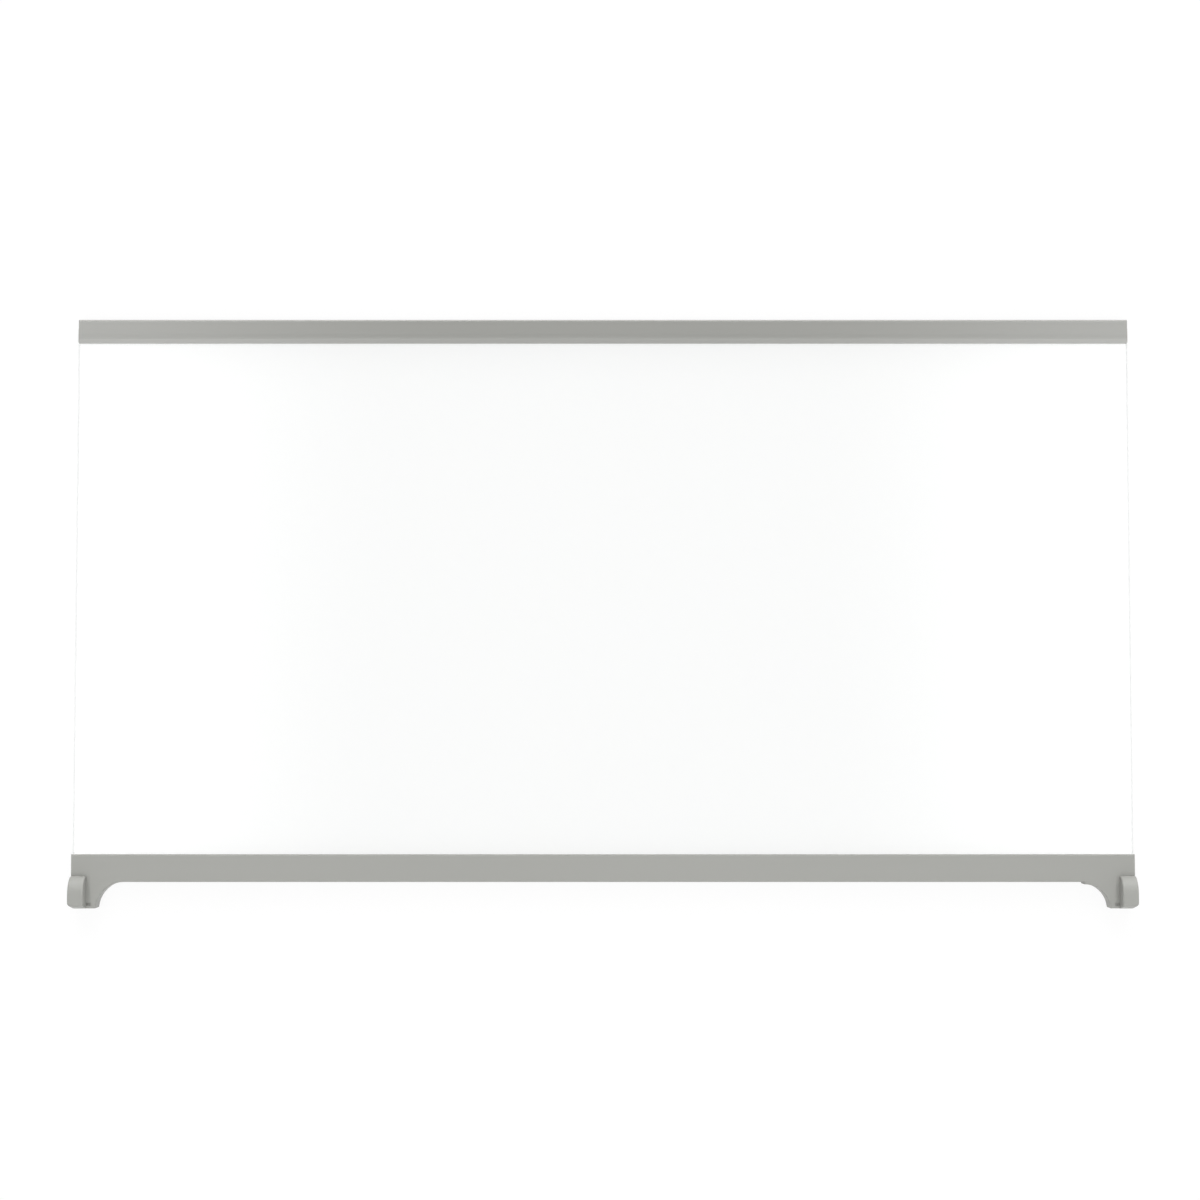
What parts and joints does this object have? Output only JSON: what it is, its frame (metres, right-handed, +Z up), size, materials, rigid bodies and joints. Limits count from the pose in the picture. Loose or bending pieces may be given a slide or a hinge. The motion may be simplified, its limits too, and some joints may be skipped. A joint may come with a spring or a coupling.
{
  "type": "refrigerator shelf",
  "caption": "Flat glass refrigerator shelf held in grey plastic edge trims; the front trim has forward legs with raised lugs that keep the shelf from sliding out.",
  "frame": {"origin": "middle of the footprint, on the surface that the shelf lies on", "axes": "+X along the width, to the right seen from the front; +Y to the rear; +Z up, the side that the lugs stand on"},
  "size_m": [0.5014, 0.2794, 0.0159],
  "materials": {
    "glass": "clear, polished faces, ground edges",
    "trim": "grey, fine satin grain"
  },
  "bodies": {
    "root": {"glass_pane": "glass", "front_trim": "trim", "rear_trim": "trim"}
  },
  "joints": []
}
